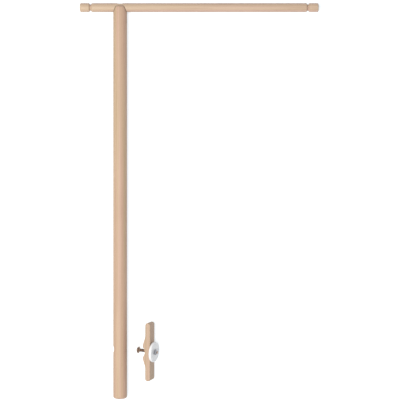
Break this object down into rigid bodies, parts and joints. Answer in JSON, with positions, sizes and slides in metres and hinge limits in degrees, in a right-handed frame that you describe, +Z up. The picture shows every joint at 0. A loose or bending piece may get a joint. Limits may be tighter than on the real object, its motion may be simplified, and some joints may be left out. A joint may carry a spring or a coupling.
{
  "type": "cot mobile holder",
  "caption": "Round wooden post with a grooved cross arm for hanging a baby mobile, and its loose wooden clamp block with bolt and knob.",
  "frame": {"origin": "centre of the bounding box on the surface that the holder lies on, z = 0", "axes": "+Z up from the surface; +Y along the post from its foot to the arm; +X along the arm's long side, away from the post"},
  "size_m": [0.38, 0.6294, 0.0307],
  "materials": {
    "beech_post": "fine sanded beech, straight grain along the post",
    "beech_arm": "fine sanded beech, straight grain along the arm",
    "beech_block": "fine sanded beech, grain along the block",
    "bronzed_steel": "dark bronzed, satin",
    "zinc_steel": "bright zinc plated",
    "white_plastic": "white, slightly glossy"
  },
  "bodies": {
    "holder": {"post": "beech_post", "arm": "beech_arm", "arm_screw": "zinc_steel"},
    "bolt": {"clamp_bolt": "bronzed_steel"},
    "block": {"clamp_block": "beech_block"},
    "knob": {"clamp_knob": "white_plastic", "knob_nut": "zinc_steel"}
  },
  "joints": [
    {"name": "clamp_swivel", "type": "hinge", "parent": "holder", "child": "bolt", "pos_m": [-0.0748, -0.24025, 0.01421], "axis": [-0.9227, 0.0694, -0.3793], "continuous": true},
    {"name": "block_travel", "type": "slide", "parent": "bolt", "child": "block", "axis": [-0.9227, 0.0694, -0.3793], "range_m": [-0.0041, 0.0121]},
    {"name": "knob_turn", "type": "hinge", "parent": "block", "child": "knob", "pos_m": [-0.0748, -0.24025, 0.01421], "axis": [-0.9227, 0.0694, -0.3793], "range_deg": [-1800, 5400]}
  ],
  "couplings": [
    {"joint": "block_travel", "follows": "knob_turn", "m_per_rad": 0.00012732}
  ]
}
